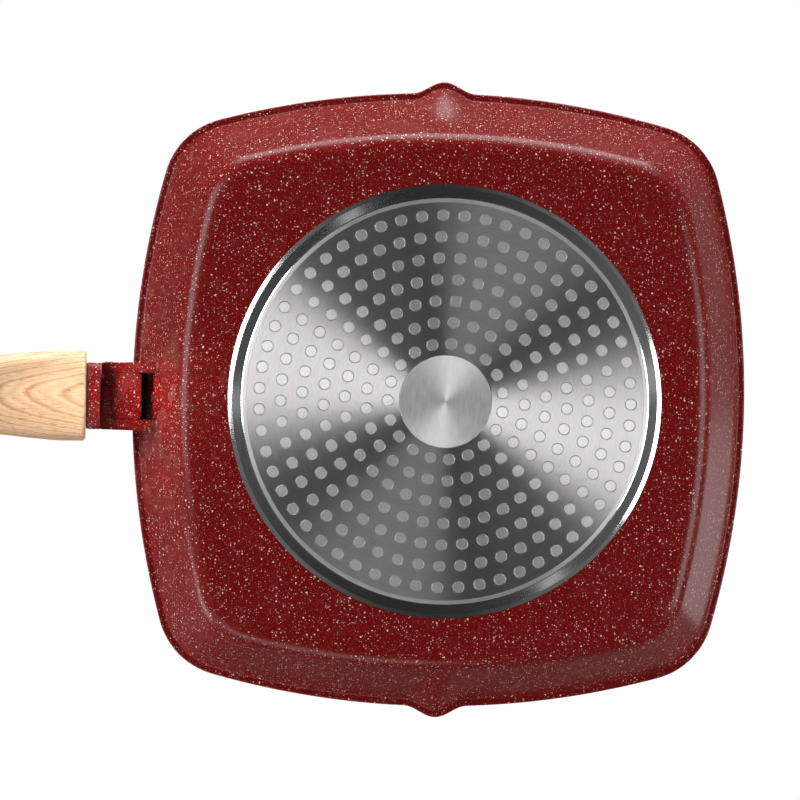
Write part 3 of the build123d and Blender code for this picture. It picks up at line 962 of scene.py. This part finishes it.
# The handle ferrule is a coated casting: a rounded block that butts against the arm ends, a tongue
# above it that carries the hinge knuckle, and a spigot that goes into the wood.
ferrule_low, ferrule_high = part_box("handle_ferrule")
ferrule_half = ferrule_high.y
ferrule_top = 38.0 * mm
ferrule_bottom = ferrule_low.z
ferrule_corner = 5.0 * mm
ferrule_edge = 0.40 * mm
ferrule_gap = 0.3 * mm
ferrule_front = arm_end - ferrule_gap
ferrule_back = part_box("ferrule_gasket")[1].x
handle_axis = (ferrule_top + ferrule_bottom) / 2
hinge_x = arm_end + hinge_setback
knuckle_radius = 3.0 * mm
knuckle_half = 9.6 * mm
knuckle_steps = 16
spigot_radius = 6.0 * mm
tongue_depth = 7.0 * mm
tongue_gap = 0.3 * mm
tooth_length = 5.0 * mm
tooth_rise = 1.3 * mm
tooth_half = 6.0 * mm


def round_rectangle(half_width, half_depth, corner, steps=10):
    """Points round a rectangle with round corners, about (0, handle_axis)."""
    outline = []
    for quarter, (across, up) in enumerate(((1, 1), (-1, 1), (-1, -1), (1, -1))):
        for step in range(steps + 1):
            angle = (quarter + step / steps) * pi / 2
            outline.append((
                across * (half_width - corner) + corner * cos(angle),
                handle_axis + up * (half_depth - corner) + corner * sin(angle),
            ))
    return outline


tongue = [
    (ferrule_back + tongue_gap, hinge_height - tongue_depth),
    (ferrule_front, hinge_height - tongue_depth),
]
tongue += [
    (hinge_x + knuckle_radius * sin(a), hinge_height - knuckle_radius * cos(a))
    for a in [pi * step / knuckle_steps for step in range(knuckle_steps + 1)]
]
tongue.append((ferrule_back + tongue_gap, ferrule_top))
tooth = rectangle(hinge_x, hinge_x + tooth_length, hinge_height - tooth_rise, hinge_height + tooth_rise)
ferrule_face = round_rectangle(ferrule_half, (ferrule_top - ferrule_bottom) / 2, ferrule_corner)
spigot = circle(0, handle_axis, spigot_radius)
ferrule_blocks = [
    block("X", ferrule_face, ferrule_back, ferrule_front),
    block("Y", tongue, -knuckle_half, knuckle_half),
    block("Y", tooth, -tooth_half, tooth_half),
    block("X", spigot, ferrule_low.x, ferrule_back + overlap),
]
ferrule = cast("ferrule_casting", ferrule_blocks, coat, ferrule_edge)
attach(ferrule, "handle")
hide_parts("handle_ferrule")


# Between ferrule and wood lies a black silicone heat washer. Two steel dowels cross it and keep the
# wood from turning.
rubber = Finish("silicone", Roughness=0.62)
rubber.set(
    Base_Color=rubber.noise(1.5).blend((0.010, 0.007, 0.007), (0.020, 0.015, 0.015)),
    Normal=rubber.bump(rubber.noise(0.4), 0.01),
)
dress(rubber, "ferrule_gasket")
dress(pin_steel, "ferrule_dowels")


# The grip is one piece of oiled ash, shaped broad and flat at the pan, waisted and full in the palm.
# It was sawn across the rings' slope, so the grain makes arches that open towards the pan.
def srgb(*color):
    """A colour as a screen shows it, from 0 to 255, in the shader's own scale."""
    return tuple(((c / 255 + 0.055) / 1.055) ** 2.4 for c in color)


grip_low, grip_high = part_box("handle_grip")
grip_front = grip_high.x
grip_length = grip_high.x - grip_low.x
# distance from the front face, width and depth
grip_sections = [
    (0.0, 40.6, 25.0),
    (13.0, 40.6, 25.0),
    (40.5, 35.6, 23.6),
    (78.0, 28.5, 21.0),
    (122.0, 33.0, 23.0),
    (150.0, 29.0, 20.0),
]
grip_corner = 10.0
grip_corner_share = 0.46
front_edge = 1.8
end_edge = 4.0
grip_stations = 110


def along(distance, column):
    """Width or depth there, on a smooth line through the sections."""
    rows = grip_sections
    for n in range(len(rows) - 1):
        if distance <= rows[n + 1][0]:
            break
    span = rows[n + 1][0] - rows[n][0]
    share = min(1, max(0, (distance - rows[n][0]) / span))
    slopes = []
    for m in (n, n + 1):
        before, after = rows[max(m - 1, 0)], rows[min(m + 1, len(rows) - 1)]
        slopes.append((after[column] - before[column]) / (after[0] - before[0]) * span)
    if n == 0:
        slopes = [0, 0]
    a, b = rows[n][column], rows[n + 1][column]
    return (
        a * (1 + 2 * share) * (1 - share) ** 2
        + b * share**2 * (3 - 2 * share)
        + slopes[0] * share * (1 - share) ** 2
        - slopes[1] * share**2 * (1 - share)
    )


rings = []
for station in range(grip_stations + 1):
    share = station / grip_stations
    distance = grip_length / mm * (0.5 - 0.5 * cos(pi * share))
    inset = 0
    for edge, run in ((front_edge, distance), (end_edge, grip_length / mm - distance)):
        if run < edge:
            inset = edge - sqrt(edge**2 - (edge - run) ** 2)
    width, depth = along(distance, 1), along(distance, 2)
    corner = min(grip_corner, grip_corner_share * depth) - inset
    outline = round_rectangle((width / 2 - inset) * mm, (depth / 2 - inset) * mm, corner * mm, steps=16)
    rings.append([Vector((grip_front - distance * mm, y, z)) for y, z in outline])
points = joined(rings)
faces = skin(rings) + [tuple(range(len(rings[0]))), tuple(range(len(points) - len(rings[0]), len(points)))]

ash_pale = srgb(237, 204, 166)
ash_warm = srgb(222, 176, 130)
ash_late = srgb(188, 120, 68)
ash_pore = srgb(146, 86, 46)
ring_gap = 2.3
ring_slope = 0.125
pith_drop = 12.0
ash = Finish("oiled_ash", Roughness=0.42)
lengthwise, sideways, upright = [
    ash.node("ShaderNodeSeparateXYZ", {}, {0: ash.place}, output=n) for n in "XYZ"
]
bends = ash.noise(26.0, detail=3.0, stretch=(3.5, 1, 1)) * 5.0
wander = bends + ash.noise(5.0, detail=2.0, stretch=(7, 1, 1)) * 0.9
above_pith = upright - (grip_low.z / mm - pith_drop)
across_rings = (sideways * sideways + above_pith * above_pith) ** 0.5
from_pith = across_rings - lengthwise * ring_slope + wander
year = (from_pith / ring_gap).math("FRACT", from_pith / ring_gap)
year_colors = [
    (0.0, ash_pale),
    (0.30, ash_warm),
    (0.55, ash_pale),
    (0.72, ash_warm),
    (0.86, ash_late),
    (1.0, ash_pale),
]
rings_of_wood = ash.node("ShaderNodeValToRGB", {"stops": year_colors}, {0: year})
fibre = ash.noise(0.5, detail=3.0, stretch=(22, 1, 1))
pores = ((ash.noise(0.42, detail=1.0, stretch=(9, 1, 1)) - 0.58) * 9).clip() * (year + 0.25).clip()
tone = ash.noise(30.0, stretch=(2, 1, 1))
wood_color = (fibre * 0.35).blend(rings_of_wood, ash_warm)
wood_color = (tone * 0.25).blend(wood_color, ash_pale)
wood_color = (pores * 0.75).blend(wood_color, ash_pore)
ash.set(
    Base_Color=wood_color,
    Roughness=fibre * 0.14 + 0.36,
    Normal=ash.bump(fibre * 0.6 + (1 - pores) * 0.6, 0.03),
)
grip = piece("ash_grip", points, faces, ash, sharp=50)
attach(grip, "handle")
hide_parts("handle_grip")


# The tie rod is steel and runs through the wood. The nickel-plated hanging eye on its end pulls everything
# tight over a dished washer and a split one.
plated = steel("plated_steel", (0.72, 0.71, 0.69), roughness=0.20, marks=0.9)
dress(pin_steel, "tie_rod")
dress(washer_steel, "end_washer", "rod_lock_washer")
dress(plated, "hanging_eye")
